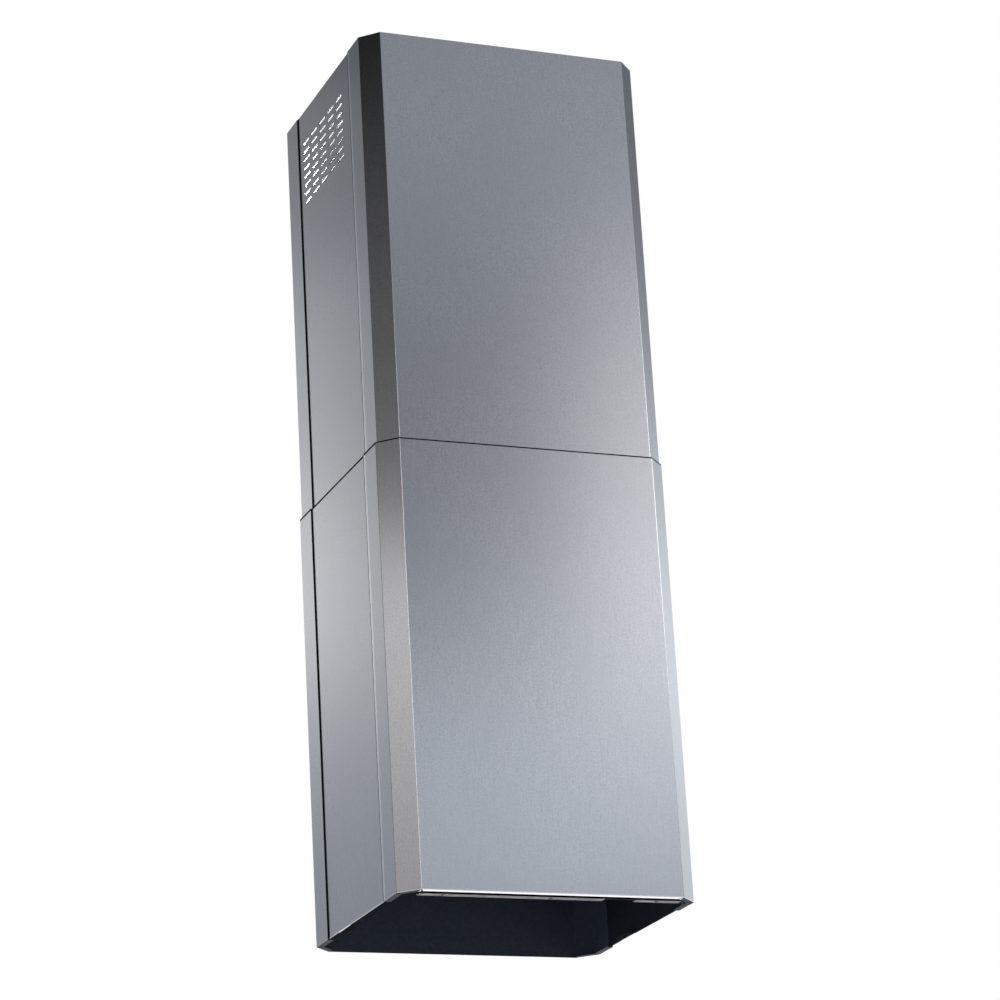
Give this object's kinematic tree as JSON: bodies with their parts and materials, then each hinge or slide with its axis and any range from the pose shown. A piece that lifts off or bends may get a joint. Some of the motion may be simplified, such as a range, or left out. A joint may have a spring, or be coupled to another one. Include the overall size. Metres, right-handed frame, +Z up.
{
  "type": "telescopic island range hood flue cover",
  "caption": "Ceiling-hung telescopic flue cover for an island range hood: satin steel sections with sloping corners and side vents around an adjustable frame.",
  "frame": {"origin": "centre of the ceiling plate's top face, which lies against the ceiling", "axes": "+X to the object's right seen from the front, +Y to the rear, +Z up; the object hangs below z = 0"},
  "size_m": [0.32, 0.288, 0.9334],
  "materials": {
    "satin_steel": "satin stainless sheet with a fine vertical grain",
    "satin_steel_panel": "the same satin sheet on the flat side panels",
    "bonding_tape": "black foam tape, matt",
    "felt": "thin dark felt",
    "zinc_fasteners": "bright zinc plating",
    "rail_steel": "grey plated steel strip",
    "galvanised_steel": "galvanised steel with a faint spangle"
  },
  "bodies": {
    "ceiling_frame": {"ceiling_plate": "galvanised_steel", "upper_upright_front_left": "galvanised_steel", "upper_upright_front_right": "galvanised_steel", "upper_upright_rear_left": "galvanised_steel", "upper_upright_rear_right": "galvanised_steel", "upright_head_screws": "zinc_fasteners", "upper_brace_front": "galvanised_steel", "upper_brace_rear": "galvanised_steel", "upper_brace_left": "galvanised_steel", "upper_brace_right": "galvanised_steel", "upper_brace_screws": "zinc_fasteners", "flue_hanger_front": "galvanised_steel", "flue_hanger_rear": "galvanised_steel", "flue_hanger_screws": "zinc_fasteners", "upper_front_shell": "satin_steel", "upper_rear_shell": "satin_steel", "upper_left_panel": "satin_steel_panel", "upper_right_panel": "satin_steel_panel", "upper_seam_tapes": "bonding_tape"},
    "lower_frame": {"hood_base_plate": "galvanised_steel", "lower_upright_front_left": "galvanised_steel", "lower_upright_front_right": "galvanised_steel", "lower_upright_rear_left": "galvanised_steel", "lower_upright_rear_right": "galvanised_steel", "upright_foot_screws": "zinc_fasteners", "lower_brace_front": "galvanised_steel", "lower_brace_rear": "galvanised_steel", "lower_brace_left": "galvanised_steel", "lower_brace_right": "galvanised_steel", "clamp_bolts": "zinc_fasteners", "clamp_washers": "zinc_fasteners", "clamp_nuts": "zinc_fasteners"},
    "lower_flue": {"lower_front_shell": "satin_steel", "lower_rear_shell": "satin_steel", "lower_left_panel": "satin_steel_panel", "lower_right_panel": "satin_steel_panel", "lower_seam_tapes": "bonding_tape", "rim_felt": "felt", "front_rail": "rail_steel", "rail_standoffs": "zinc_fasteners", "rail_screws": "zinc_fasteners", "notch_screw": "zinc_fasteners"}
  },
  "joints": [
    {"name": "frame_height", "type": "slide", "parent": "ceiling_frame", "child": "lower_frame", "axis": [0, 0, 1], "range_m": [0, 0.3]},
    {"name": "flue_lift", "type": "slide", "parent": "ceiling_frame", "child": "lower_flue", "axis": [0, 0, 1], "range_m": [0, 0.41]}
  ]
}
